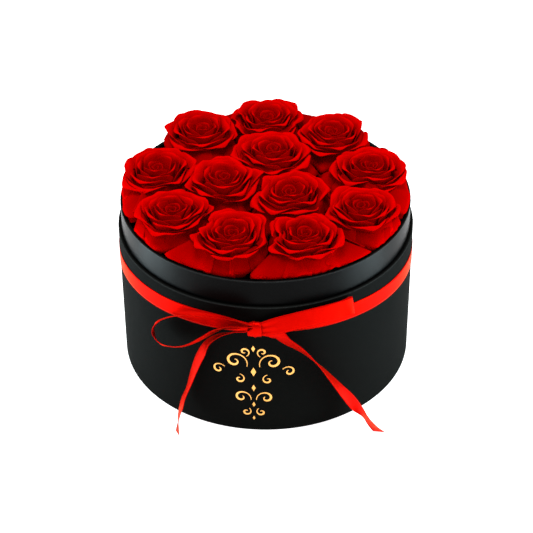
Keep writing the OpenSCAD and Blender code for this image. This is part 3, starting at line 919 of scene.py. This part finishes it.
def make_band():
    """The ring round the wall, in a tilted plane, gathered and a little lower where it meets the knot."""
    rows, cols = 288, 9
    gather_degrees, pinch, drop = 9.0, 0.45, 2.4
    a = np.linspace(0, 2 * math.pi, rows, endpoint=False)[:, None]
    w = np.linspace(-1, 1, cols)[None]
    slope = math.tan(math.radians(BAND_TILT))
    half = RIBBON_W / 2 / math.cos(math.radians(BAND_TILT))
    from_knot = np.degrees(np.abs(np.angle(np.exp(1j * (a - math.asin(KNOT_X / BAND_R))))))
    gather = np.exp(-(from_knot / gather_degrees) ** 2)
    waver = 0.12 * np.sin(5 * a + 1) + 0.08 * np.sin(11 * a)
    z = BAND_Z + BAND_R * np.cos(a) * slope + w * half * (1 - pinch * gather) - drop * gather + waver
    out = BAND_R + 0.25 * gather * (1 + np.cos(w * 3 * math.pi))
    grid = np.stack([out * np.sin(a), -out * np.cos(a), z], -1)
    uv = np.stack([np.broadcast_to((w + 1) / 2, (rows, cols)),
                   np.broadcast_to(a * BAND_R * MM, (rows, cols))], -1)
    points, faces, uv = thick_sheet(grid, uv, RIBBON_T, wrap=True)
    obj = add_mesh("ribbon_band_satin", points, faces, uv)
    dress(obj, RIBBON, "box", "ribbon_band")


make_knot()
make_band()
make_strips()


# ---- Floor and light ----

FLOOR_Z = -0.05
FLOOR_HALF = 4000.0
BACKDROP_R = 3600.0
BACKDROP_H = 3000.0


def make_floor():
    points = [[x, y, FLOOR_Z] for y in (-FLOOR_HALF, FLOOR_HALF) for x in (-FLOOR_HALF, FLOOR_HALF)]
    floor = add_mesh("floor", points, [(0, 1, 3, 2)], smooth=False)
    look = Look("pale_floor")
    tone = look.noise(look.mapped((1, 1, 1)), 3, 2)
    look.plug(look.mix(tone, (0.80, 0.80, 0.80), (0.84, 0.84, 0.84)), "Base Color")
    look.set(Roughness=0.9, Specular_IOR_Level=0.1, Emission_Color=(1, 1, 1, 1), Emission_Strength=0.85)
    floor.data.materials.append(look.material)


def make_backdrop():
    """A white wall round the floor. Only the camera sees it, so it adds no light."""
    sides = 96
    turns = np.linspace(0, 2 * math.pi, sides, endpoint=False)
    points = [[BACKDROP_R * math.cos(a), BACKDROP_R * math.sin(a), z]
              for z in (FLOOR_Z, BACKDROP_H) for a in turns]
    faces = [(i, (i + 1) % sides, sides + (i + 1) % sides, sides + i) for i in range(sides)]
    wall = add_mesh("backdrop", points, faces)
    look = Look("white_backdrop")
    tone = look.noise(look.mapped((1, 1, 1)), 1, 1)
    look.plug(look.mix(tone, (0.99, 0.99, 0.99), (1, 1, 1)), "Emission Color")
    look.set(Base_Color=(0, 0, 0, 1), Roughness=1.0, Specular_IOR_Level=0.0, Emission_Strength=1.0)
    wall.data.materials.append(look.material)
    for kind in ("diffuse", "glossy", "transmission", "volume_scatter", "shadow"):
        setattr(wall, "visible_" + kind, False)


def area_light(name, place, aim, size, power, colour=(1, 1, 1)):
    data = bpy.data.lights.new(name, "AREA")
    data.shape = "RECTANGLE"
    data.size, data.size_y = size
    data.energy = power
    data.color = colour
    light = bpy.data.objects.new(name, data)
    light.location = place
    light.rotation_mode = "QUATERNION"
    light.rotation_quaternion = (Vector(aim) - Vector(place)).to_track_quat("-Z", "Y")
    light.visible_camera = False
    bpy.context.scene.collection.objects.link(light)


def make_light():
    """A soft light above, one on each side, and a low strip on each side that shows on the neck."""
    world = bpy.data.worlds.new("studio")
    world.use_nodes = True
    background = world.node_tree.nodes["Background"].inputs
    background["Color"].default_value = (1, 1, 1, 1)
    background["Strength"].default_value = 0.4
    bpy.context.scene.world = world
    area_light("top_light", (0, -0.08, 1.4), (0, 0, 0.1), (0.6, 0.6), 19.2)
    for name, side in (("left", -1), ("right", 1)):
        area_light(name + "_light", (side * 0.8, -0.15, 0.55), (0, 0, 0.08), (0.5, 0.6), 3, (0.9, 0.98, 1))
        area_light(name + "_strip", (side * 0.27, -0.09, 0.035), (side * 0.07, -0.075, 0.115),
                   (0.15, 0.09), 0.9, (0.72, 0.94, 1))
    view = bpy.context.scene.view_settings
    view.view_transform = "Standard"
    view.look = "None"
    view.exposure = 0
    view.gamma = 1


make_floor()
make_backdrop()
make_light()
